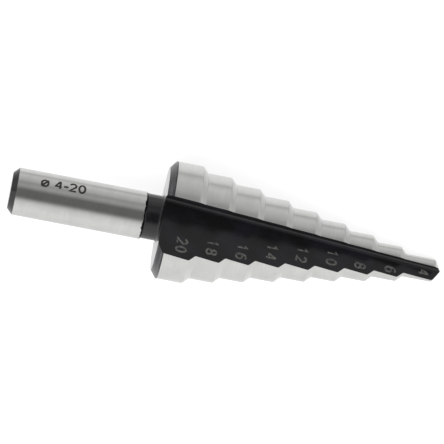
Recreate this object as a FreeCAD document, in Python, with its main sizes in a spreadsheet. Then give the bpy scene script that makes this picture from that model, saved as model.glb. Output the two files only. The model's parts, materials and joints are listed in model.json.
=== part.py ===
"""Step drill, 4 to 20 mm: a parametric model of one hardened steel piece.

The drill is modelled along X, from the back end of the shank at zero to the point. Its first flute
opens towards +Z and the other lies half a turn away. Seen from +Z, the straight upper edge of the
flute is the cutting edge and the stepped lower one is the heel of the land before it. Last, the
drill is laid down as it comes to rest: on the step corners either side of its lower flute.
"""

import FreeCAD, Part
import Sketcher
import math
import os
import re
from itertools import combinations
from FreeCAD import Vector

os.makedirs("parts", exist_ok=True)
doc = FreeCAD.newDocument("StepDrill")


# Driving sizes, in millimetres and degrees

SIZES = {
    # shank and neck
    "shank_diameter": 8.0,
    "shank_chamfer": 0.95,
    "shank_ground_length": 22.5,
    "neck_diameter": 7.6,
    "neck_shoulder_length": 0.5,
    "neck_fillet": 0.5,
    "collar_start": 25.45,
    # stepped cone
    "step_count": 9,
    "smallest_diameter": 4.0,
    "diameter_increase": 2.0,
    "step_pitch": 5.0,
    "smallest_land_length": 5.0,
    "largest_land_length": 4.5,
    "step_chamfer_angle": 45.0,
    "collar_chamfer_length": 0.98,
    "collar_chamfer_depth": 1.25,
    "point_angle": 120.0,
    "relief_offset": 0.07,
    # flutes
    "flute_count": 2,
    "trailing_wall_angle": 25.0,
    "rake_wall_angle": 4.5,
    "rake_wall_at_collar": 3.43,
    "rake_wall_at_point": 0.54,
    "web_at_collar": 10.5,
    "web_at_point": 0.3,
    "flute_root_radius": 0.7,
}

# Sizes that follow from the driving ones
FOLLOWING = {
    "largest_diameter": "smallest_diameter + (step_count - 1) * diameter_increase",
    "step_chamfer_length": "diameter_increase / 2 / tan(step_chamfer_angle * 1 deg)",
    "largest_land_start": "collar_start + collar_chamfer_length",
    "largest_corner": "largest_land_start + largest_land_length",
    "smallest_land_start": "largest_corner + (step_count - 2) * step_pitch + step_chamfer_length",
    "smallest_corner": "smallest_land_start + smallest_land_length",
    "overall_length": "smallest_corner + smallest_diameter / 2 / tan(point_angle / 2 * 1 deg)",
    "fluted_length": "smallest_corner - collar_start",
    "trailing_lean": "tan(trailing_wall_angle * 1 deg)",
    "rake_lean": "tan(rake_wall_angle * 1 deg)",
    "rake_fall": "(rake_wall_at_collar - rake_wall_at_point) / cos(rake_wall_angle * 1 deg) / fluted_length",
    "web_fall": "(web_at_collar - web_at_point) / 2 / cos(trailing_wall_angle * 1 deg) / fluted_length",
    "root_fall": "(web_fall - rake_fall * trailing_lean) / (1 + trailing_lean * rake_lean)",
    "root_shift": "rake_fall + rake_lean * root_fall",
}

sheet = doc.addObject("Spreadsheet::Sheet", "sizes")
for row, (name, value) in enumerate([*SIZES.items(), *FOLLOWING.items()], start=1):
    sheet.set(f"A{row}", name)
    sheet.set(f"B{row}", f"={value}" if name in FOLLOWING else str(value))
    sheet.setAlias(f"B{row}", name)
doc.recompute()

SIZE_NAME = re.compile(r"\b(" + "|".join([*SIZES, *FOLLOWING]) + r")\b")


def now(expression):
    """The number that an expression in the sheet's names gives at this moment."""
    return float(sheet.evalExpression(expression))


def tied(expression):
    """The same expression as an object outside the sheet writes it."""
    return SIZE_NAME.sub(r"sizes.\1", expression)


# Helpers for sketches and turned features

ORIGIN = -1
ALONG = -1
ACROSS = -2
START, END = 1, 2

body = doc.addObject("PartDesign::Body", "step_drill")
body.Label = "step_drill"


def origin_part(role):
    """One of the body's own origin planes or axes."""
    return next(feature for feature in body.Origin.OriginFeatures if feature.Role == role)


def sketch_on(role, name):
    """An empty sketch on one of the origin planes."""
    sketch = body.newObject("Sketcher::SketchObject", name)
    sketch.AttachmentSupport = (origin_part(role), [""])
    sketch.MapMode = "FlatFace"
    return sketch


def hold(sketch, kind, *where, size=None, unit=""):
    """One constraint, tied to the sheet where it has a size."""
    if size is None:
        sketch.addConstraint(Sketcher.Constraint(kind, *where))
        return
    start = math.radians(now(size)) if unit else now(size)
    place = sketch.addConstraint(Sketcher.Constraint(kind, *where, start))
    sketch.setExpression(f"Constraints[{place}]", f"({tied(size)}){unit}")


def closed_outline(sketch, corners, rounded=None, radius=None):
    """Sides from corner to corner, each corner held along and across by an expression.

    The sides are straight, but for a quarter round that may start at the corner named as rounded.
    """
    places = [Vector(now(along), now(across), 0) for along, across in corners]
    for number, (start, end) in enumerate(zip(places, places[1:] + places[:1])):
        side = Part.LineSegment(start, end)
        if number == rounded:
            circle = Part.Circle(Vector(start.x, end.y, 0), Vector(0, 0, 1), now(radius))
            side = Part.ArcOfCircle(circle, -math.pi / 2, 0)
        sketch.addGeometry(side, False)
    for line, (along, across) in enumerate(corners):
        hold(sketch, "Coincident", (line or len(corners)) - 1, END, line, START)
        if along == "0":
            hold(sketch, "PointOnObject", line, START, ACROSS)
        else:
            hold(sketch, "DistanceX", ORIGIN, START, line, START, size=along)
        if across == "0":
            hold(sketch, "PointOnObject", line, START, ALONG)
        else:
            hold(sketch, "DistanceY", ORIGIN, START, line, START, size=across)
    if rounded is not None:
        hold(sketch, "Radius", rounded, size=radius)


def repeated_for_each_flute(feature, name):
    """Copies of a feature evenly spaced around the drill's axis."""
    pattern = body.newObject("PartDesign::PolarPattern", name)
    pattern.Originals = [feature]
    pattern.Axis = (origin_part("X_Axis"), [""])
    pattern.Angle = 360
    pattern.setExpression("Occurrences", tied("flute_count"))
    body.Tip = pattern
    doc.recompute()


# Shank and neck: round work on the drill's own axis, running on inside the collar

shank_outline = sketch_on("XZ_Plane", "shank_outline")
closed_outline(shank_outline, [
    ("0", "0"),
    ("0", "shank_diameter / 2 - shank_chamfer"),
    ("shank_chamfer", "shank_diameter / 2"),
    ("shank_ground_length", "shank_diameter / 2"),
    ("shank_ground_length + neck_shoulder_length", "neck_diameter / 2"),
    ("collar_start - neck_fillet", "neck_diameter / 2"),
    ("collar_start", "neck_diameter / 2 + neck_fillet"),
    ("largest_land_start", "neck_diameter / 2 + neck_fillet"),
    ("largest_land_start", "0"),
], rounded=5, radius="neck_fillet")
shank = body.newObject("PartDesign::Revolution", "shank")
shank.Profile = shank_outline
shank.ReferenceAxis = (shank_outline, ["H_Axis"])
shank.Angle = 360
doc.recompute()


# Stepped lands: each side is half a turn about an axis set off towards its own flute, so a land is
# full size at its cutting edge and falls away steadily to its heel

def land_height(diameter, front):
    """How far the outline stands off the drill's axis for the cutting edge to measure the step."""
    foot = f"(rake_wall_at_collar / cos(rake_wall_angle * 1 deg) - ({front} - collar_start) * rake_fall)"
    slant = "(1 + rake_lean^2)"
    edge_z = f"((sqrt(({diameter} / 2)^2 * {slant} - {foot}^2) - rake_lean * {foot}) / {slant})"
    edge_y = f"({foot} + rake_lean * {edge_z})"
    return f"sqrt({edge_y}^2 + ({edge_z} - relief_offset)^2) + relief_offset"


step_count = int(now("step_count"))
lands = []
for number in range(step_count):
    last = number == step_count - 1
    diameter = f"(largest_diameter - {number} * diameter_increase)"
    front = "smallest_corner" if last else f"(largest_corner + {number} * step_pitch)"
    lands.append((front, land_height(diameter, front)))

cone_corners = [
    ("collar_start", "relief_offset"),
    ("collar_start", f"{lands[0][1]} - collar_chamfer_depth"),
    ("largest_land_start", lands[0][1]),
    lands[0],
]
for (previous_front, _), (front, height) in zip(lands, lands[1:]):
    cone_corners.append((f"{previous_front} + step_chamfer_length", height))
    cone_corners.append((front, height))
cone_corners.append(("overall_length", "relief_offset"))

land_outline = sketch_on("XZ_Plane", "land_outline")
closed_outline(land_outline, cone_corners)
offset_axis = Part.LineSegment(
    Vector(now("collar_start"), now("relief_offset"), 0),
    Vector(now("overall_length"), now("relief_offset"), 0),
)
axis_line = land_outline.addGeometry(offset_axis, True)
hold(land_outline, "Coincident", axis_line, START, 0, START)
hold(land_outline, "Coincident", axis_line, END, axis_line - 1, START)
land = body.newObject("PartDesign::Revolution", "land")
land.Profile = land_outline
land.ReferenceAxis = (land_outline, ["Axis0"])
land.Angle = 180
land.Reversed = True
doc.recompute()
repeated_for_each_flute(land, "lands")


# Flutes: a V with a rounded root, ground straight along the cone. The rake wall carries the cutting
# edges and leans back a little; the trailing wall lies far back and carries the size numbers

trailing = math.radians(now("trailing_wall_angle"))
rake = math.radians(now("rake_wall_angle"))
root = now("flute_root_radius")
far = now("largest_diameter")
trailing_foot = (now("web_at_collar") / 2 + root) / math.cos(trailing)
rake_foot = (now("rake_wall_at_collar") - root) / math.cos(rake)
across = (rake_foot + math.tan(rake) * trailing_foot) / (1 + math.tan(rake) * math.tan(trailing))
root_centre = Vector(across, trailing_foot - math.tan(trailing) * across, 0)
root_low = root_centre - Vector(math.sin(trailing), math.cos(trailing), 0) * root
root_side = root_centre + Vector(math.cos(rake), -math.sin(rake), 0) * root

flute_section = sketch_on("YZ_Plane", "flute_section")
flute_section.setExpression("AttachmentOffset.Base.z", tied("collar_start"))
trailing_end = Vector(-far, root_low.y + (far + root_low.x) * math.tan(trailing), 0)
rake_end = Vector(root_side.x + (far - root_side.y) * math.tan(rake), far, 0)
sides = [root_low, trailing_end, Vector(-far, far, 0), rake_end, root_side]
for start, end in zip(sides, sides[1:]):
    flute_section.addGeometry(Part.LineSegment(start, end), False)
TRAILING, OUTER, TOP, RAKE, ROOT = range(5)
root_circle = Part.Circle(root_centre, Vector(0, 0, 1), root)
flute_section.addGeometry(Part.ArcOfCircle(root_circle, -math.pi / 2 - trailing, -rake), False)
for line in (TRAILING, OUTER, TOP):
    hold(flute_section, "Coincident", line, END, line + 1, START)
hold(flute_section, "Tangent", ROOT, START, TRAILING, START)
hold(flute_section, "Tangent", ROOT, END, RAKE, END)
hold(flute_section, "Vertical", OUTER)
hold(flute_section, "Horizontal", TOP)
hold(flute_section, "Radius", ROOT, size="flute_root_radius")
hold(flute_section, "Angle", TRAILING, size="180 - trailing_wall_angle", unit=" * 1 deg")
hold(flute_section, "Angle", RAKE, size="-90 - rake_wall_angle", unit=" * 1 deg")
hold(flute_section, "Distance", ORIGIN, START, TRAILING, size="web_at_collar / 2")
hold(flute_section, "Distance", ORIGIN, START, RAKE, size="rake_wall_at_collar")
hold(flute_section, "DistanceX", OUTER, END, ORIGIN, START, size="largest_diameter")
hold(flute_section, "DistanceY", ORIGIN, START, TOP, START, size="largest_diameter")
doc.recompute()

solid_volume = body.Shape.Volume
flute = body.newObject("PartDesign::Pocket", "flute")
flute.Profile = flute_section
flute.Type = "Length"
flute.UseCustomVector = True
flute.AlongSketchNormal = True
flute.Direction = Vector(1, 0, 0)
flute.setExpression("Direction.y", tied("-root_shift"))
flute.setExpression("Direction.z", tied("-root_fall"))
flute.setExpression("Length", tied("overall_length"))
doc.recompute()
repeated_for_each_flute(flute, "flutes")
flute_volume = solid_volume - body.Shape.Volume
print("the flutes take away", round(flute_volume), "cubic mm of", round(solid_volume))


# Laying the drill down: of the planes through three step corners beside the lower flute that leave
# every other corner of the drill above, it rests on the one nearest to its centre of mass

TOUCH = 0.0001
WIDEST = math.radians(75)


def beside_lower_flute(corner):
    """Whether a corner lies below the axis and within the widest angle of straight down."""
    return corner.z < 0 and abs(corner.y) < -corner.z * math.tan(WIDEST)


def resting_plane(corners, centre):
    """The foot of the centre of mass on the plane that the drill rests on, and the way up."""
    nearest = None
    for first, second, third in combinations(filter(beside_lower_flute, corners), 3):
        up = (second - first).cross(third - first)
        if up.Length < TOUCH:
            continue
        up.normalize()
        height = (centre - first).dot(up)
        if height < 0:
            up, height = -up, -height
        if nearest and height >= nearest[0]:
            continue
        if all((corner - first).dot(up) > -TOUCH for corner in corners):
            nearest = (height, up)
    height, up = nearest
    return centre - up * height, up


solid = body.Shape.Solids[0]
foot, up = resting_plane([vertex.Point for vertex in solid.Vertexes], solid.CenterOfMass)
towards_point = Vector(1, 0, 0) - up * up.x
towards_point.normalize()
laid = FreeCAD.Rotation(towards_point, up.cross(towards_point), up, "XZY").inverted()
level = FreeCAD.Placement(-laid.multVec(foot), laid)
box = solid.transformed(level.toMatrix()).optimalBoundingBox(False, False)
level.Base -= Vector(box.Center.x, box.Center.y, 0)
body.Placement = level
doc.recompute()


# Every object has to be sound before anything is written

for item in doc.Objects:
    if "Invalid" in item.State or "Error" in item.State:
        raise RuntimeError(f"{item.Name} is not sound: {item.State}")
if flute_volume <= 0:
    raise RuntimeError("the flutes cut nothing")

shape = body.Shape
if shape.isNull() or not shape.isValid() or len(shape.Solids) != 1:
    raise RuntimeError("the drill is not one sound solid")
shape.exportStep(f"parts/{body.Label}.step")

box = shape.Solids[0].optimalBoundingBox(False, False)
print("overall length", round(now("overall_length"), 2), "mm along the axis")
print("box", [round(side, 2) for side in (box.XMin, box.XMax, box.YMin, box.YMax, box.ZMin, box.ZMax)])
print("volume", round(shape.Volume), "cubic mm, centre of mass", shape.Solids[0].CenterOfMass)
axis = body.Placement.Rotation.multVec(Vector(1, 0, 0))
print("the axis dips", round(math.degrees(math.asin(-axis.z)), 2), "degrees towards the point")
print("shank end at", body.Placement.Base)
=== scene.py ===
# %% [markdown]
# A step drill is one bar of hardened steel: turned to a stepped cone, fluted, blackened, and then
# ground bright again on the shank and the lands. This notebook dresses the plain CAD solid. The
# solid is loaded first and never moved, because everything else is placed from it.

# %% Load the frame
import json
import math

import bmesh
import bpy
from mathutils import Matrix, Vector
from mathutils.bvhtree import BVHTree


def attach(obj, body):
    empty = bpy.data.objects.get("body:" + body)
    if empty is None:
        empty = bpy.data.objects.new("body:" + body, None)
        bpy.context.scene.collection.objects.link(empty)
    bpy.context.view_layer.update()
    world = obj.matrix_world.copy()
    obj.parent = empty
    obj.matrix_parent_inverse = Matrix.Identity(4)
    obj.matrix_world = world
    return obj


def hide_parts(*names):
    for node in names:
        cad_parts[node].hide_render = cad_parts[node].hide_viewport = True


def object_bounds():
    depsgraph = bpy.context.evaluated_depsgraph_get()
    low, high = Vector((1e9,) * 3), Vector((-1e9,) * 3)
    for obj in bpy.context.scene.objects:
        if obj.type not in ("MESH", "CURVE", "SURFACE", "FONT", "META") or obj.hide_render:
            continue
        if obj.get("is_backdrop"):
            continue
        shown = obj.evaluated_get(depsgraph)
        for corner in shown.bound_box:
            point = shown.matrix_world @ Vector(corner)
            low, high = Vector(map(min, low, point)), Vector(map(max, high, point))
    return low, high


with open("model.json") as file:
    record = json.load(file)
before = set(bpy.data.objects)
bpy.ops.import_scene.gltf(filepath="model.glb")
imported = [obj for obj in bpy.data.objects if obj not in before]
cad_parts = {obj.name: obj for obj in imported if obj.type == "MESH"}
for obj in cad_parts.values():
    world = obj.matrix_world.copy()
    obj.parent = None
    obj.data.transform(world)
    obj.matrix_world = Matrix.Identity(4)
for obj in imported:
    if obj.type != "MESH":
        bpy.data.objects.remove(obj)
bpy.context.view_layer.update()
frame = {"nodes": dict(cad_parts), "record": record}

MM = 0.001

# %% [markdown]
# The drill lies with its point down, so every shape is easier to make in the drill's own space: X
# along the axis from the back of the shank, Z out of the upper flute, in millimetres. The record
# says where the shank's axis is, and one turn about that axis brings the flute to its place. The
# result is a matrix that carries the drill's space into the room.

# %% Find the drill's own space
SHANK_CHAMFER = 0.95
SHANK_GROUND = 22.5
FLUTE_TURN = math.radians(-7.827)

mount = next(m for m in frame["record"]["mounts"] if m["name"] == "shank")
to_point = -Vector(mount["axis"]).normalized()
shank_end = Vector(mount["pos_m"]) - to_point * (SHANK_CHAMFER + SHANK_GROUND) / 2 * MM
level_side = Vector((0, 1, 0))
unturned = Matrix((to_point, level_side, to_point.cross(level_side))).transposed()
turned = unturned @ Matrix.Rotation(FLUTE_TURN, 3, "X")
place = Matrix.Translation(shank_end) @ turned.to_4x4() @ Matrix.Scale(MM, 4)
print("The shank ends at", [round(side / MM, 2) for side in shank_end], "mm")

# %% [markdown]
# The flutes come before the blank here, because they decide how large each land must be. A flute is
# a V with a small round at its root. Its rake wall carries the cutting edges and leans back a
# little, and its trailing wall lies far back and carries the size numbers. Both walls run down
# towards the axis as they near the point, so each is given by its distance from the axis at both
# ends of the cone.

# %% Size the flutes
STEPS = 9
SMALLEST = 4.0
LARGER_BY = 2.0
PITCH = 5.0
CHAMFER = LARGER_BY / 2
COLLAR = 25.45
COLLAR_CHAMFER = (0.98, 1.25)
FIRST_LAND = 4.5
LAST_LAND = 5.0
POINT_ANGLE = math.radians(120)

largest = SMALLEST + (STEPS - 1) * LARGER_BY
first_corner = COLLAR + COLLAR_CHAMFER[0] + FIRST_LAND
last_corner = first_corner + (STEPS - 2) * PITCH + CHAMFER + LAST_LAND
length = last_corner + SMALLEST / 2 / math.tan(POINT_ANGLE / 2)

RAKE_ANGLE = math.radians(4.5)
RAKE_WALL = (3.43, 0.54)
TRAILING_ANGLE = math.radians(25)
WEB = (10.5, 0.3)
ROOT_RADIUS = 0.7

fluted = last_corner - COLLAR
rake_lean = math.tan(RAKE_ANGLE)
trailing_lean = math.tan(TRAILING_ANGLE)
rake_fall = (RAKE_WALL[0] - RAKE_WALL[1]) / math.cos(RAKE_ANGLE) / fluted
web_fall = (WEB[0] - WEB[1]) / 2 / math.cos(TRAILING_ANGLE) / fluted
root_fall = (web_fall - rake_fall * trailing_lean) / (1 + trailing_lean * rake_lean)
root_shift = rake_fall + rake_lean * root_fall


def rake_foot(along):
    """How far the rake wall stands from the axis, level with the axis."""
    return RAKE_WALL[0] / math.cos(RAKE_ANGLE) - (along - COLLAR) * rake_fall


def trailing_foot(along):
    """How high the trailing wall stands straight above the axis."""
    return WEB[0] / 2 / math.cos(TRAILING_ANGLE) - (along - COLLAR) * web_fall


print(f"The root of a flute falls {root_fall * fluted:.2f} mm over {fluted:.2f} mm")

# %% [markdown]
# The cone is nine lands, each 2 mm larger than the one before and 5 mm back from it, joined by 45
# degree chamfers. On the real drill a land isn't quite round: it is ground about an axis set off
# towards its own flute, so that it clears the hole behind its cutting edge. The outline is the one
# that a lathe would follow, as radii about that offset axis, each with the finish that follows it.
# The black of the collar runs a little way onto the first land, where the grinding wheel stopped.
# The wheel that ground the steps had a worn edge, so every corner is a small curve. So is the
# shoulder of the neck, which a turning tool with a round nose leaves a little hollow.

# %% Draw the outline
RELIEF = 0.07
NECK_RADIUS = 3.8
NECK_SHOULDER = 0.5
SHOULDER_CURVE = [(0.2, 0.55), (0.45, 0.22), (0.7, 0.07), (1, 0)]
NECK_FILLET = 0.5
SHANK_RADIUS = 4.0
TIP_RADIUS = 0.01
UNGROUND = 0.2
FILLET_STEPS = 6
WORN_CORNER = 0.2
WORN_POINT = 0.35
WORN_STEPS = 4
ON_AXIS, SET_OFF = 0, RELIEF


def land_radius(diameter, along):
    """Radius about the offset axis that brings the cutting edge to the step's own size."""
    foot = rake_foot(along)
    slant = 1 + rake_lean ** 2
    edge_z = (math.sqrt((diameter / 2) ** 2 * slant - foot ** 2) - rake_lean * foot) / slant
    return math.hypot(foot + rake_lean * edge_z, edge_z - RELIEF)


def worn_corner(before, corner, after, reach=WORN_CORNER):
    """A small curve of points in place of a sharp corner of the ground outline."""
    before, corner, after = Vector(before), Vector(corner), Vector(after)
    start = corner + (before - corner).normalized() * reach
    end = corner + (after - corner).normalized() * reach
    for number in range(WORN_STEPS + 1):
        part = number / WORN_STEPS
        along, radius = start.lerp(corner, part).lerp(corner.lerp(end, part), part)
        outline.append((along, radius, SET_OFF, "ground"))


outline = [
    (0, SHANK_RADIUS - SHANK_CHAMFER, ON_AXIS, "polished"),
    (SHANK_CHAMFER, SHANK_RADIUS, ON_AXIS, "ground"),
    (SHANK_GROUND, SHANK_RADIUS, ON_AXIS, "polished"),
]
for part, left in SHOULDER_CURVE:
    radius = NECK_RADIUS + left * (SHANK_RADIUS - NECK_RADIUS)
    outline.append((SHANK_GROUND + part * NECK_SHOULDER, radius, ON_AXIS, "polished"))
for number in range(FILLET_STEPS + 1):
    turn = number / FILLET_STEPS * math.pi / 2
    along = COLLAR - NECK_FILLET + NECK_FILLET * math.sin(turn)
    outline.append((along, NECK_RADIUS + NECK_FILLET * (1 - math.cos(turn)), ON_AXIS, "polished"))
radius = land_radius(largest, first_corner)
outline.append((COLLAR, radius - COLLAR_CHAMFER[1], SET_OFF, "turned"))
outline.append((COLLAR + COLLAR_CHAMFER[0], radius, SET_OFF, "turned"))
outline.append((COLLAR + COLLAR_CHAMFER[0] + UNGROUND, radius, SET_OFF, "ground"))
behind = (COLLAR, radius)
for number in range(1, STEPS):
    end = first_corner + number * PITCH if number < STEPS - 1 else last_corner
    smaller = land_radius(largest - number * LARGER_BY, end)
    top = (first_corner + (number - 1) * PITCH, radius)
    foot = (top[0] + CHAMFER, smaller)
    worn_corner(behind, top, foot)
    worn_corner(top, foot, (end, smaller))
    behind, radius = foot, smaller
worn_corner(behind, (last_corner, radius), (length, TIP_RADIUS), WORN_POINT)
outline.append((length, TIP_RADIUS, SET_OFF, "ground"))
print(f"{len(outline)} points from the shank to the point, {length:.2f} mm")

# %% [markdown]
# A mesh can be turned from the outline with the Screw modifier, but the lands need two half turns
# about two axes. So the rings are laid one by one: one half of each ring goes about the axis set off
# towards the upper flute, the other about the one set off towards the lower flute. The little jump
# between the halves falls inside the flutes, where the metal is cut away. Each face keeps the
# finish that the outline gives it.

# %% Turn the blank
AROUND = 288
FINISHES = ["ground", "black", "turned", "polished"]


def ring_point(along, radius, offset, number):
    """One point of a ring, counted from the upper flute towards +Y."""
    half = AROUND // 2
    side = 1 if number <= half else -1
    turn = (number if side > 0 else number - 1) / half * math.pi
    return (along, radius * math.sin(turn), side * offset + radius * math.cos(turn))


def into_room(shape, name):
    """Carry a shape from the drill's space into the room, as a mesh."""
    bmesh.ops.recalc_face_normals(shape, faces=shape.faces)
    shape.transform(place)
    mesh = bpy.data.meshes.new(name)
    shape.to_mesh(mesh)
    shape.free()
    return mesh


def add(name, mesh):
    """Add a mesh to the scene."""
    piece = bpy.data.objects.new(name, mesh)
    bpy.context.scene.collection.objects.link(piece)
    return piece


blank = bmesh.new()
rings = [
    [blank.verts.new(ring_point(along, radius, offset, k)) for k in range(AROUND + 2)]
    for along, radius, offset, _ in outline
]
for (*_, finish), ring, following in zip(outline, rings, rings[1:]):
    for k in range(len(ring)):
        corners = (ring[k], following[k], following[k - 1], ring[k - 1])
        face = blank.faces.new(corners)
        face.material_index = FINISHES.index(finish)
blank.faces.new(rings[0]).material_index = FINISHES.index("polished")
blank.faces.new(rings[-1]).material_index = FINISHES.index("ground")
SAME_POINT = 1e-5
bmesh.ops.remove_doubles(blank, verts=blank.verts, dist=SAME_POINT)
drill = add("drill", into_room(blank, "drill"))
print(f"The blank has {len(drill.data.polygons)} faces")

# %% [markdown]
# Each flute is taken out with a cutter, as the grinding wheel does it: a slanted prism of the V,
# from behind the collar to past the point. The Boolean modifier does the cutting, and its exact
# solver lets the cutter's faces bring the black finish with them.

# %% Make the flute cutters
ROOT_STEPS = 14
REACH = 14.0
RUN_OUT = 2.0


def flute_section():
    """The V at the back of the collar, as points across the axis."""
    rake = rake_foot(COLLAR) - ROOT_RADIUS / math.cos(RAKE_ANGLE)
    trailing = trailing_foot(COLLAR) + ROOT_RADIUS / math.cos(TRAILING_ANGLE)
    centre_y = (rake + rake_lean * trailing) / (1 + rake_lean * trailing_lean)
    centre_z = trailing - trailing_lean * centre_y
    start, end = -math.pi / 2 - TRAILING_ANGLE, -RAKE_ANGLE
    section = []
    for number in range(ROOT_STEPS + 1):
        turn = start + number / ROOT_STEPS * (end - start)
        across, up = ROOT_RADIUS * math.cos(turn), ROOT_RADIUS * math.sin(turn)
        section.append((centre_y + across, centre_z + up))
    section.append((rake_foot(COLLAR) + rake_lean * REACH, REACH))
    section.append((-REACH, REACH))
    section.append((-REACH, trailing_foot(COLLAR) + trailing_lean * REACH))
    return section


def flute_cutter(name, turn):
    """A slanted prism of the section, turned about the axis."""
    shape = bmesh.new()
    ends = []
    for run in (-RUN_OUT, length - COLLAR + RUN_OUT):
        ends.append([
            shape.verts.new((COLLAR + run, y - run * root_shift, z - run * root_fall))
            for y, z in flute_section()
        ])
    for k in range(len(ends[0])):
        shape.faces.new((ends[0][k - 1], ends[0][k], ends[1][k], ends[1][k - 1]))
    shape.faces.new(ends[0])
    shape.faces.new(ends[1])
    for face in shape.faces:
        face.material_index = FINISHES.index("black")
    shape.transform(Matrix.Rotation(turn, 4, "X"))
    return add(name, into_room(shape, name))


cutters = [flute_cutter("upper_cutter", 0), flute_cutter("lower_cutter", math.pi)]
print(f"{len(cutters)} cutters, each with {len(cutters[0].data.polygons)} faces")

# %% [markdown]
# All the finishes are grained along or around the drill, so their patterns are drawn in the drill's
# own space: a Mapping node carries each point of the room back there, in millimetres. Stretching
# that space along one direction before it goes into a noise turns its spots into lines.

# %% Helpers for finishes
to_drill = turned.transposed().to_euler()
end_in_drill = -(turned.transposed() @ shank_end) / MM


def node(tree, kind, **settings):
    """Add a node and set its named properties."""
    made = tree.nodes.new(kind)
    for name, value in settings.items():
        setattr(made, name, value)
    return made


def new_finish(name, colour, metallic, roughness):
    """A material, its tree, its shader and the drill's own space in millimetres."""
    material = bpy.data.materials.new(name)
    material.use_nodes = True
    tree = material.node_tree
    shader = tree.nodes["Principled BSDF"]
    shader.inputs["Base Color"].default_value = (*colour, 1)
    shader.inputs["Metallic"].default_value = metallic
    shader.inputs["Roughness"].default_value = roughness
    coordinates = node(tree, "ShaderNodeTexCoord")
    mapping = node(tree, "ShaderNodeMapping")
    mapping.inputs["Scale"].default_value = (1 / MM,) * 3
    mapping.inputs["Rotation"].default_value = to_drill
    mapping.inputs["Location"].default_value = end_in_drill
    tree.links.new(coordinates.outputs["Object"], mapping.inputs["Vector"])
    return material, tree, shader, mapping.outputs["Vector"]


def noise(tree, space, stretch, detail=2.0):
    """A noise from 0 to 1, with so many spots a millimetre along and across the drill."""
    stretched = node(tree, "ShaderNodeVectorMath", operation="MULTIPLY")
    stretched.inputs[1].default_value = stretch
    tree.links.new(space, stretched.inputs[0])
    spots = node(tree, "ShaderNodeTexNoise")
    spots.inputs["Scale"].default_value = 1.0
    spots.inputs["Detail"].default_value = detail
    tree.links.new(stretched.outputs["Vector"], spots.inputs["Vector"])
    return spots.outputs["Fac"]


def spread(tree, value, low, high, start=0.3, end=0.7):
    """Stretch a noise to run from a low to a high number."""
    span = node(tree, "ShaderNodeMapRange")
    for name, number in (("From Min", start), ("From Max", end), ("To Min", low), ("To Max", high)):
        span.inputs[name].default_value = number
    tree.links.new(value, span.inputs["Value"])
    return span.outputs["Result"]


def blend(tree, factor, first, second):
    """A colour between two others."""
    mixed = node(tree, "ShaderNodeMix", data_type="RGBA")
    tree.links.new(factor, mixed.inputs["Factor"])
    for socket, colour in (("A", first), ("B", second)):
        if isinstance(colour, tuple):
            mixed.inputs[socket].default_value = (*colour, 1)
        else:
            tree.links.new(colour, mixed.inputs[socket])
    return mixed.outputs["Result"]


def colour_by(tree, shader, factor, first, second):
    """Colour a finish between two colours."""
    tree.links.new(blend(tree, factor, first, second), shader.inputs["Base Color"])


def roughness_by(tree, shader, value, low, high):
    """Let a noise vary the roughness."""
    tree.links.new(spread(tree, value, low, high), shader.inputs["Roughness"])


def scratches(tree, shader, height, depth):
    """Let a noise raise and sink the surface by so many millimetres."""
    bump = node(tree, "ShaderNodeBump")
    bump.inputs["Distance"].default_value = depth * MM
    tree.links.new(height, bump.inputs["Height"])
    tree.links.new(bump.outputs["Normal"], shader.inputs["Normal"])


print("Patterns are drawn in millimetres from the back of the shank")

# %% [markdown]
# Ground steel is a bright mirror with very fine lines around the axis, left by the grinding wheel.
# Such lines smear what the steel shows along the drill and keep it sharp around it, which is what
# the Anisotropic socket is for. The lines also vary the gloss a little, and broad patches vary the
# colour.

# %% Ground steel
BRIGHT = (0.71, 0.71, 0.69)
DULLER = (0.64, 0.64, 0.625)
AROUND_LINES = (3.4, 0.25, 0.25)
FINE_LINES = (16.0, 0.5, 0.5)
PATCHES = (0.5, 0.35, 0.35)
LINE_SHARE = 0.45
SMEARED = 0.55
GROUND_ROUGHNESS = (0.10, 0.19)
GROUND_DEPTH = 0.0012

ground, tree, shader, space = new_finish("ground_steel", BRIGHT, 1.0, 0.13)
lines = noise(tree, space, AROUND_LINES)
patches = noise(tree, space, PATCHES)
colour = blend(tree, spread(tree, patches, 0, 1), DULLER, BRIGHT)
steel = blend(tree, spread(tree, lines, 0, LINE_SHARE), colour, DULLER)
roughness_by(tree, shader, lines, *GROUND_ROUGHNESS)
shader.inputs["Anisotropic"].default_value = SMEARED
tangent = node(tree, "ShaderNodeTangent", direction_type="UV_MAP", uv_map="grain")
tree.links.new(tangent.outputs["Tangent"], shader.inputs["Tangent"])
scratches(tree, shader, noise(tree, space, FINE_LINES), GROUND_DEPTH)
print(f"Ground steel has {len(tree.nodes)} nodes so far")

# %% [markdown]
# At the neck the wheel ran out unevenly, so the black there ends in small teeth. They could be
# modelled, but they have no depth. So a noise shifts the place where the steel turns black: past the
# end of the ground length, give or take a tooth, and before the collar.

# %% Black teeth at the neck
LACQUER = (0.0010, 0.0012, 0.0020)
TEETH = (0.6, 2.6, 2.6)
TOOTH_DETAIL = 3.0
TOOTH_LENGTH = 0.2

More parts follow.
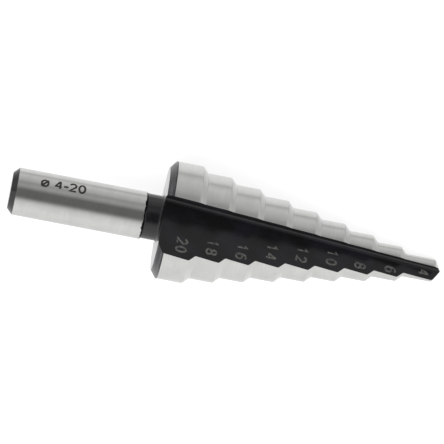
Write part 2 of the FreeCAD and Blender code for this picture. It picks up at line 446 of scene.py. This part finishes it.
along_drill = node(tree, "ShaderNodeSeparateXYZ")
tree.links.new(space, along_drill.inputs["Vector"])
ragged = noise(tree, space, TEETH, detail=TOOTH_DETAIL)
teeth = spread(tree, ragged, -TOOTH_LENGTH, TOOTH_LENGTH / 3)
reached = node(tree, "ShaderNodeMath", operation="SUBTRACT")
tree.links.new(along_drill.outputs["X"], reached.inputs[0])
tree.links.new(teeth, reached.inputs[1])
past_wheel = node(tree, "ShaderNodeMath", operation="GREATER_THAN")
past_wheel.inputs[1].default_value = SHANK_GROUND
tree.links.new(reached.outputs["Value"], past_wheel.inputs[0])
before_collar = node(tree, "ShaderNodeMath", operation="LESS_THAN")
before_collar.inputs[1].default_value = COLLAR
tree.links.new(along_drill.outputs["X"], before_collar.inputs[0])
on_neck = node(tree, "ShaderNodeMath", operation="MULTIPLY")
tree.links.new(past_wheel.outputs["Value"], on_neck.inputs[0])
tree.links.new(before_collar.outputs["Value"], on_neck.inputs[1])
colour_by(tree, shader, on_neck.outputs["Value"], steel, LACQUER)
tree.links.new(spread(tree, on_neck.outputs["Value"], 1, 0, 0, 1), shader.inputs["Metallic"])
print(f"Ground steel has {len(tree.nodes)} nodes in all")

# %% [markdown]
# Black oxide is a skin a thousandth of a millimetre thick. It is nearly black when it is looked at
# straight, shines softly, and turns into a pale mirror at a glancing angle, which a plain dielectric
# does by itself. The flute wheel's marks run along the flute, and faint bluish patches show where
# the bath took longer.

# %% Black oxide
ALONG_LINES = (0.12, 4.5, 4.5)
BATH_PATCHES = (0.22, 0.3, 0.3)
BATH_SPREAD = (0.45, 0.65)
BLACK = (0.0075, 0.0077, 0.0082)
BLACK_PATCH = (0.0125, 0.013, 0.017)
BLACK_ROUGHNESS = (0.17, 0.30)
BLACK_DEPTH = 0.0015

black, tree, shader, space = new_finish("black_oxide", BLACK, 0.0, 0.22)
patches = noise(tree, space, BATH_PATCHES)
colour_by(tree, shader, spread(tree, patches, 0, 1, *BATH_SPREAD), BLACK, BLACK_PATCH)
lines = noise(tree, space, ALONG_LINES)
roughness_by(tree, shader, lines, *BLACK_ROUGHNESS)
scratches(tree, shader, lines, BLACK_DEPTH)
print(f"{black.name} has {len(tree.nodes)} nodes")

# %% [markdown]
# The neck, the back of the collar and the end of the shank were turned with a fine tool before the
# bath, so there the same black shines like lacquer: deep black in front, and pale where the surface
# turns away and mirrors the paper. A lower roughness, a stronger reflection and a few faint rings
# set it apart.

# %% Polished black
FINE_RINGS = (6.0, 0.6, 0.6)
RING_SPREAD = (0.5, 0.8)
POLISHED_ROUGHNESS = (0.08, 0.14)
POLISHED_DEPTH = 0.0012
LACQUER_IOR = 1.62

polished_black, tree, shader, space = new_finish("polished_black", LACQUER, 0.0, 0.11)
fine_rings = noise(tree, space, FINE_RINGS)
colour_by(tree, shader, spread(tree, fine_rings, 0, 1, *RING_SPREAD), LACQUER, BLACK_PATCH)
roughness_by(tree, shader, fine_rings, *POLISHED_ROUGHNESS)
shader.inputs["IOR"].default_value = LACQUER_IOR
scratches(tree, shader, fine_rings, POLISHED_DEPTH)
print(f"{polished_black.name} has {len(tree.nodes)} nodes")

# %% [markdown]
# The chamfer behind the collar was turned with a coarser tool and never ground. The tool left rings
# there, which catch the light through the black as pale streaks. Those streaks are a painted
# highlight: a paler colour mixed into the black by the same noise that gives the rings their bump.

# %% Turned and blackened, with painted highlight streaks
TURNED_RINGS = (4.0, 0.35, 0.35)
TURNED_DETAIL = 4.0
# The paler colour of the painted highlight along the rings.
PAINTED_STREAK_HIGHLIGHT = (0.12, 0.12, 0.125)
STREAK_SPREAD = (0.4, 0.75)
TURNED_ROUGHNESS = (0.16, 0.36)
TURNED_DEPTH = 0.012

turned_black, tree, shader, space = new_finish("turned_black", BLACK, 0.0, 0.25)
coarse_rings = noise(tree, space, TURNED_RINGS, detail=TURNED_DETAIL)
# Painted highlight: the ring noise mixes a paler colour into the black along the rings.
colour_by(tree, shader, spread(tree, coarse_rings, 0, 1, *STREAK_SPREAD), BLACK_PATCH, PAINTED_STREAK_HIGHLIGHT)
roughness_by(tree, shader, coarse_rings, *TURNED_ROUGHNESS)
scratches(tree, shader, coarse_rings, TURNED_DEPTH)
print(f"{turned_black.name} has {len(tree.nodes)} nodes")

# %% [markdown]
# With the finishes ready, the flutes are cut for good: the modifiers are applied and the cutters
# thrown away. Faces that meet at more than 20 degrees keep a sharp edge, as along the flutes. The
# rest, with the small curves of the worn corners, are shaded as one round surface.

# %% Cut the flutes
SHARP = math.radians(20)

for piece in [drill, *cutters]:
    for material in (ground, black, turned_black, polished_black):
        piece.data.materials.append(material)
for cutter in cutters:
    cut = drill.modifiers.new(cutter.name, "BOOLEAN")
    cut.operation = "DIFFERENCE"
    cut.solver = "EXACT"
    cut.object = cutter
bpy.context.view_layer.update()
evaluated = drill.evaluated_get(bpy.context.evaluated_depsgraph_get())
fluted_mesh = bpy.data.meshes.new_from_object(evaluated)
drill.modifiers.clear()
drill.data = fluted_mesh
for cutter in cutters:
    bpy.data.objects.remove(cutter)
fluted_mesh.shade_smooth()
fluted_mesh.set_sharp_from_angle(angle=SHARP)
finishes = len(fluted_mesh.materials)
print(f"The fluted drill has {len(fluted_mesh.polygons)} faces in {finishes} finishes")

# %% [markdown]
# The ground steel needs to know which way the drill runs at each point. A UV map tells it: U goes
# along the axis and V around it. A face that crosses the back of the circle gets a full turn added
# on its far side, so that it doesn't run backwards round the whole drill.

# %% Map the grain
back_to_drill = place.inverted()
grain = fluted_mesh.uv_layers.new(name="grain")
for polygon in fluted_mesh.polygons:
    spots = [back_to_drill @ fluted_mesh.vertices[v].co for v in polygon.vertices]
    turns = [math.atan2(spot.y, spot.z) / math.tau for spot in spots]
    furthest = max(turns)
    for loop, spot, turn in zip(polygon.loop_indices, spots, turns):
        grain.data[loop].uv = (spot.x / length, turn + (furthest - turn > 0.5))
print(f"{len(grain.data)} corners have a place along and around the drill")

# %% [markdown]
# The dressed drill takes the place of the CAD solid, so it should be the same part to within a
# tenth of a millimetre. It could be compared by eye, but a search tree gives each corner's distance
# from the solid as a number. Only then is the drill tied to the body that it belongs to.

# %% Measure it against the solid
depsgraph = bpy.context.evaluated_depsgraph_get()
solid = BVHTree.FromObject(frame["nodes"]["step_drill"], depsgraph)
gaps = [solid.find_nearest(vertex.co)[3] / MM for vertex in fluted_mesh.vertices]
average = sum(gaps) / len(gaps)
print(f"Within {max(gaps):.3f} mm of the CAD solid, {average:.4f} mm on average")
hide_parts("step_drill")
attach(drill, "root")

# %% [markdown]
# Each land's diameter is marked beside it in the flute, by a laser that burns the black to grey. The
# beam draws a digit as a few strokes of one thickness, so that is how the digits are made here too:
# each is a list of paths, straight or bowed, in a box one wide and one high. Blender's own font would
# be quicker, but its digits have other forms.

# %% Draw the signs
BOW_STEP = 15


def bow(x, y, wide, high, start, end):
    """Points on part of an ellipse, from one angle to another."""
    count = round(abs(end - start) / BOW_STEP)
    turns = [math.radians(start + number / count * (end - start)) for number in range(count + 1)]
    return [(x + wide * math.cos(turn), y + high * math.sin(turn)) for turn in turns]


SIGNS = {
    "0": (1.0, [bow(0.5, 0.5, 0.5, 0.5, 0, 360)]),
    "1": (1.05, [[(0, 0.74), (0.43, 1), (0.43, 0)]]),
    "2": (1.0, [[*bow(0.5, 0.7, 0.48, 0.3, 165, -30), (0, 0), (1, 0)]]),
    "4": (1.0, [[(0.7, 1), (0, 0.28), (1, 0.28)], [(0.74, 0), (0.74, 1)]]),
    "6": (1.0, [bow(0.5, 0.31, 0.5, 0.31, 0, 360), bow(0.6, 0.36, 0.6, 0.64, 180, 60)]),
    "8": (1.0, [bow(0.5, 0.27, 0.5, 0.27, 0, 360), bow(0.5, 0.77, 0.42, 0.23, 0, 360)]),
    "Ø": (1.1, [bow(0.55, 0.38, 0.55, 0.4, 0, 360), [(-0.02, -0.04), (1.12, 0.8)]]),
    "-": (0.4, [[(-0.14, 0.38), (0.6, 0.38)]]),
    " ": (0.25, []),
}
print(f"{len(SIGNS)} signs, drawn in {sum(len(paths) for _, paths in SIGNS.values())} strokes")

# %% [markdown]
# A path gets its breadth by moving every point half a stroke to each side. At a corner the shift
# grows, so that both straight parts keep their full breadth. Then all strokes are closed downwards
# into thin plates, which will sit in the metal with their tops a hundredth of a millimetre proud.
# Strokes that cross would share a plane, and so each lies a hair above the one before.

# %% Thicken the strokes
CLEAR = 0.008
SUNK = 0.03
HAIR = 0.002
LONGEST_CORNER = 1.7


def thicken(shape, path, thick, height):
    """Add a path to a mesh as a flat ribbon."""
    points = [Vector(point) for point in path]
    runs = [(after - before).normalized() for before, after in zip(points, points[1:])]
    sides = []
    for run, following in zip([runs[0], *runs], [*runs, runs[-1]]):
        across = Vector((-run.y - following.y, run.x + following.x)).normalized()
        corner = 1 / max(across.dot(Vector((-run.y, run.x))), 1 / LONGEST_CORNER)
        sides.append(across * corner * thick / 2)
    edges = [
        [shape.verts.new((*(point + side), height)), shape.verts.new((*(point - side), height))]
        for point, side in zip(points, sides)
    ]
    for (left, right), (far_left, far_right) in zip(edges, edges[1:]):
        shape.faces.new((left, right, far_right, far_left))


def drawn(words, width, height, thick, gap):
    """The words as flat ribbons, centred, with digits of a given width and height."""
    shape = bmesh.new()
    box = Vector((width - thick, height - thick))
    along = 0
    for sign in words:
        wide, paths = SIGNS[sign]
        for number, path in enumerate(paths):
            scaled = [(along + x * box.x, (y - 0.5) * box.y) for x, y in path]
            thicken(shape, scaled, thick, CLEAR + number * HAIR)
        along += wide * box.x + thick + gap
    middle = (along - thick - gap) / 2
    bmesh.ops.translate(shape, verts=shape.verts, vec=(-middle, 0, 0))
    return shape


def sink(shape):
    """Close flat ribbons downwards into thin plates."""
    tops = shape.faces[:]
    rims = [edge for edge in shape.edges if edge.is_boundary]
    down = Vector((0, 0, -SUNK))
    lower = {vertex: shape.verts.new(vertex.co + down) for vertex in shape.verts[:]}
    for edge in rims:
        left, right = edge.verts
        shape.faces.new((left, right, lower[right], lower[left]))
    for top in tops:
        shape.faces.new([lower[vertex] for vertex in top.verts])


print(f"A stroke stands {CLEAR} mm proud and reaches {SUNK - CLEAR:.3f} mm down")

# %% [markdown]
# The words lie flat in the trailing wall. A texture would need an image, and letters that stand
# higher would be wrong for a laser mark. The digits read towards the heel, with their tops towards
# the point, and their places vary a little, as they do on the real drill.

# %% Lay the digits beside the steps
DIGIT_WIDTH = 1.2
DIGIT_HEIGHT = 2.02
STROKE = 0.32
GAP = 0.27
FROM_CORNER_AND_HEEL = {
    20: (1.55, 2.25), 18: (1.5, 2.22), 16: (1.47, 1.93), 14: (1.5, 2.26), 12: (1.42, 2.25),
    10: (1.32, 2.17), 8: (1.43, 1.24), 6: (1.28, 1.02), 4: (1.6, 1.08),
}


def wall_point(along, across):
    """A point on the trailing wall."""
    return Vector((along, across, trailing_foot(along) - trailing_lean * across))


def heel(along, radius):
    """How far across the trailing wall meets a land."""
    foot = trailing_foot(along)
    slant = 1 + trailing_lean ** 2
    return -(math.sqrt(slant * radius ** 2 - foot ** 2) - trailing_lean * foot) / slant


numbers_shape = bmesh.new()
for number in range(STEPS):
    diameter = round(largest - number * LARGER_BY)
    corner = first_corner + number * PITCH if number < STEPS - 1 else last_corner
    from_corner, from_heel = FROM_CORNER_AND_HEEL[diameter]
    along = corner - from_corner
    across = heel(along, diameter / 2) + from_heel
    towards_heel = (wall_point(along, across - 1) - wall_point(along, across)).normalized()
    towards_tip = (wall_point(along + 1, across) - wall_point(along, across)).normalized()
    off_wall = towards_heel.cross(towards_tip).normalized()
    laid = Matrix((towards_heel, off_wall.cross(towards_heel), off_wall)).transposed().to_4x4()
    laid.translation = wall_point(along, across)
    shape = drawn(str(diameter), DIGIT_WIDTH, DIGIT_HEIGHT, STROKE, GAP)
    sink(shape)
    shape.transform(laid)
    letters = bpy.data.meshes.new("letters")
    shape.to_mesh(letters)
    shape.free()
    numbers_shape.from_mesh(letters)
    bpy.data.meshes.remove(letters)
    print(f"{diameter} lies {along:.1f} mm along and {across:.1f} mm across")
step_numbers = add("step_numbers", into_room(numbers_shape, "step_numbers"))

# %% [markdown]
# Burnt black is a dull warm grey, and never even: the beam leaves thin places where the black shows
# through. A coarse noise picks those places, and the same noise varies the roughness.

# %% Laser grey
BURNT = (0.135, 0.135, 0.125)
BARELY_BURNT = (0.05, 0.05, 0.048)
BURNT_SPREAD = (0.35, 0.6)
BURNT_ROUGHNESS = (0.45, 0.65)
THIN_PLACES = (2.2, 2.2, 2.2)
THIN_DETAIL = 3.0

laser_grey, tree, shader, space = new_finish("laser_grey", BURNT, 0.0, 0.55)
thin = noise(tree, space, THIN_PLACES, detail=THIN_DETAIL)
colour_by(tree, shader, spread(tree, thin, 0, 1, *BURNT_SPREAD), BARELY_BURNT, BURNT)
roughness_by(tree, shader, thin, *BURNT_ROUGHNESS)
print(f"{laser_grey.name} has {len(tree.nodes)} nodes")
step_numbers.data.materials.append(laser_grey)
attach(step_numbers, "root")

# %% [markdown]
# The shank carries the range of sizes in black. Flat words can't lie on a round shank, so their mesh
# is first cut into narrow strips and then rolled onto the cylinder: the distance across becomes an
# angle.

# %% Roll the mark onto the shank
MARK_WIDTH = 1.36
MARK_HEIGHT = 1.8
MARK_STROKE = 0.35
MARK_GAP = 0.15
MARK_ALONG = 8.5
MARK_TURN = math.radians(36)
STRIP = 0.1

mark_shape = drawn("Ø 4-20", MARK_WIDTH, MARK_HEIGHT, MARK_STROKE, MARK_GAP)
for number in range(1, round(MARK_HEIGHT / STRIP)):
    everything = [*mark_shape.verts, *mark_shape.edges, *mark_shape.faces]
    bmesh.ops.bisect_plane(mark_shape, geom=everything, plane_no=(0, 1, 0),
                           plane_co=(0, number * STRIP - MARK_HEIGHT / 2, 0))
sink(mark_shape)
for vertex in mark_shape.verts:
    turn = MARK_TURN + vertex.co.y / SHANK_RADIUS
    radius = SHANK_RADIUS + vertex.co.z
    vertex.co = (MARK_ALONG + vertex.co.x, radius * math.sin(turn), radius * math.cos(turn))
size_mark = add("size_mark", into_room(mark_shape, "size_mark"))
print(f"The mark has {len(size_mark.data.polygons)} faces")

# %% [markdown]
# On bright steel a laser leaves a dark scale in place of a pale one. It is dull, brownish black, and
# a little worn where the chuck has held the shank. It is made like the grey of the digits, with
# darker colours.

# %% Mark black
MARK_BLACK = (0.022, 0.020, 0.018)
MARK_WORN = (0.07, 0.066, 0.06)
WORN_SPREAD = (0.5, 0.8)
MARK_ROUGHNESS = (0.4, 0.6)

mark_black, tree, shader, space = new_finish("mark_black", MARK_BLACK, 0.0, 0.5)
worn = noise(tree, space, THIN_PLACES, detail=THIN_DETAIL)
colour_by(tree, shader, spread(tree, worn, 0, 1, *WORN_SPREAD), MARK_BLACK, MARK_WORN)
roughness_by(tree, shader, worn, *MARK_ROUGHNESS)
print(f"{mark_black.name} has {len(tree.nodes)} nodes")
size_mark.data.materials.append(mark_black)
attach(size_mark, "root")

# %% [markdown]
# The surroundings matter more to this drill than any lamp, because bright steel shows nothing of its
# own: it shows the room. So the room is drawn first, as tones by angle around the drill's axis. Above
# the drill hangs a dark ceiling, where the camera is. A grey wall stands on one side and a white one
# on the other. Below lies white paper, whose far edge shows as a thin grey line along every land.
# The chamfers look forward or back, past the ends of the drill, where the room is white on one side
# and grey on the other, so a second set of tones takes over there.

# %% Room tones
ROOM_TONES = [
    (-180, 0.97), (-167, 0.86), (-138, 0.87), (-116, 0.91), (-84, 0.95), (-60, 0.87), (-48, 0.79),
    (-38, 0.61), (-24, 0.22), (-16, 0.15), (14, 0.16), (34, 0.42), (52, 0.37), (64, 0.53),
    (92, 0.70), (100, 0.66), (109, 0.545), (118, 0.79), (128, 0.88), (140, 0.92), (167, 0.86),
    (180, 0.97),
]
FULL_TURN = 360
END_TONES = [
    (-180, 0.92), (-60, 0.95), (0, 0.45), (50, 0.46), (72, 0.54), (85, 0.60), (97, 0.66),
    (108, 0.62), (116, 0.55), (124, 0.55), (131, 0.61), (138, 0.67), (146, 0.74), (160, 0.86),
    (180, 0.92),
]
PAST_ENDS = (0.22, 0.42)

world = bpy.data.worlds.new("room")
bpy.context.scene.world = world
world.use_nodes = True
room = world.node_tree
sky = node(room, "ShaderNodeTexCoord")
facing = node(room, "ShaderNodeMapping")
facing.inputs["Rotation"].default_value = to_drill
room.links.new(sky.outputs["Generated"], facing.inputs["Vector"])
sides = node(room, "ShaderNodeSeparateXYZ")
room.links.new(facing.outputs["Vector"], sides.inputs["Vector"])
around = node(room, "ShaderNodeMath", operation="ARCTAN2")
room.links.new(sides.outputs["Y"], around.inputs[0])
room.links.new(sides.outputs["Z"], around.inputs[1])


def tones_around(stops):
    """A colour that follows the angle around the drill."""
    tones = node(room, "ShaderNodeValToRGB")
    room.links.new(spread(room, around.outputs["Value"], 0, 1, -math.pi, math.pi), tones.inputs["Fac"])
    for degrees, _ in stops[1:-1]:
        tones.color_ramp.elements.new(0.5 + degrees / FULL_TURN)
    for mark, (degrees, tone) in zip(tones.color_ramp.elements, stops):
        mark.position = 0.5 + degrees / FULL_TURN
        mark.color = (tone, tone, tone, 1)
    return tones.outputs["Color"]


lengthwise = node(room, "ShaderNodeMath", operation="ABSOLUTE")
room.links.new(sides.outputs["X"], lengthwise.inputs[0])
past_end = spread(room, lengthwise.outputs["Value"], 0, 1, *PAST_ENDS)
room_tone = blend(room, past_end, tones_around(ROOM_TONES), tones_around(END_TONES))
print(f"The room has {len(ROOM_TONES)} tones around the drill and {len(END_TONES)} past its ends")

# %% [markdown]
# The camera should see nothing of those tones, only a white room. Light Path tells the shader who
# asks: camera rays get plain white, and all others get the tones.

# %% White room for the camera
WHITE = (1.0, 1.0, 1.0)
asker = node(room, "ShaderNodeLightPath")
shown = blend(room, asker.outputs["Is Camera Ray"], room_tone, WHITE)
room.links.new(shown, room.nodes["Background"].inputs["Color"])
print(f"The room is drawn with {len(room.nodes)} nodes")

# %% [markdown]
# The floor is one sheet of white paper. Lit by the lamps alone it would come out grey, so it also
# glows towards the camera, and the soft shadow of the drill stays on it. The steel reflects the
# room's own white instead of the sheet, as a drill held clear of the paper would.

# %% Floor
FLOOR = 1.5
PAPER = (0.4, 0.4, 0.4)
MATT = 0.9
GLOW = 0.8

paper = bpy.data.materials.new("paper")
paper.use_nodes = True
tree = paper.node_tree
shader = tree.nodes["Principled BSDF"]
shader.inputs["Base Color"].default_value = (*PAPER, 1)
shader.inputs["Roughness"].default_value = MATT
shader.inputs["Specular IOR Level"].default_value = 0
shader.inputs["Emission Color"].default_value = (*WHITE, 1)
asker = node(tree, "ShaderNodeLightPath")
glow = spread(tree, asker.outputs["Is Camera Ray"], 0, GLOW, 0, 1)
tree.links.new(glow, shader.inputs["Emission Strength"])

floor_mesh = bpy.data.meshes.new("floor")
corners = [(-FLOOR, -FLOOR, 0), (FLOOR, -FLOOR, 0), (FLOOR, FLOOR, 0), (-FLOOR, FLOOR, 0)]
floor_mesh.from_pydata(corners, [], [range(len(corners))])
floor_mesh.materials.append(paper)
floor = add("floor", floor_mesh)
floor.visible_glossy = False
floor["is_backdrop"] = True
print(f"The sheet is {2 * FLOOR:.0f} m wide")

# %% [markdown]
# One wide lamp overhead gives the plain light level and the shadow. It is large, so the shadow is
# soft, and it stays out of the steel, which has its whole room already.

# %% Lamp
LAMP_WIDTH = 0.9
LAMP_POWER = 9.0
LAMP_PLACE = Vector((0.1, -0.35, 1.1))

lamp_data = bpy.data.lights.new("wide_lamp", "AREA")
lamp_data.size = LAMP_WIDTH
lamp_data.energy = LAMP_POWER
lamp = bpy.data.objects.new("wide_lamp", lamp_data)
bpy.context.scene.collection.objects.link(lamp)
lamp.location = LAMP_PLACE
lamp.rotation_euler = LAMP_PLACE.to_track_quat("Z", "Y").to_euler()
lamp.visible_glossy = False
print(f"The lamp is {LAMP_WIDTH} m wide and hangs {LAMP_PLACE.z:.1f} m up")

# %% [markdown]
# The camera looks down on the drill, almost along the depth of the upper flute. It is worked out
# in the drill's own space: turned by the slope that the axis has in the picture, and far enough
# away that the steps keep an even spacing.

# %% Camera
PICTURE = 444
SCALE = 6.0
DISTANCE = 900.0
TILT = math.radians(3.7)
SLOPE = math.radians(10.8)
AXIS_ROW = 230.2
MIDDLE_ALONG = 35.66
SENSOR = 36
FARTHEST = 10

towards_camera = Vector((-math.sin(TILT), 0, math.cos(TILT)))
along_axis = Vector((math.cos(TILT), 0, math.sin(TILT)))
across_axis = towards_camera.cross(along_axis)
right = math.cos(SLOPE) * along_axis + math.sin(SLOPE) * across_axis
up = math.cos(SLOPE) * across_axis - math.sin(SLOPE) * along_axis
aim = Vector((MIDDLE_ALONG, 0, 0)) + across_axis * (AXIS_ROW - PICTURE / 2) / SCALE

camera_data = bpy.data.cameras.new("camera")
camera_data.sensor_width = SENSOR
camera_data.lens = SCALE * DISTANCE / PICTURE * SENSOR
camera_data.clip_end = FARTHEST
camera = bpy.data.objects.new("camera", camera_data)
bpy.context.scene.collection.objects.link(camera)
standing = (turned @ Matrix((right, up, towards_camera)).transposed()).to_4x4()
standing.translation = place @ (aim + towards_camera * DISTANCE)
camera.matrix_world = standing
bpy.context.scene.camera = camera
down = math.degrees(math.asin((turned @ towards_camera).z))
print(f"A {camera_data.lens:.0f} mm lens looks down at {down:.1f} degrees")

# %% [markdown]
# The tones were matched under the plain Standard view, so that one is set, with nothing else
# changed. The size of the dressed part is printed, because it must fill the same box as the solid.

# %% View settings and sizes
bpy.context.scene.view_settings.view_transform = "Standard"
visual_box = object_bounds()
dressed = [[round(side / MM, 2) for side in corner] for corner in visual_box]
print("The dressed box in mm:", dressed)
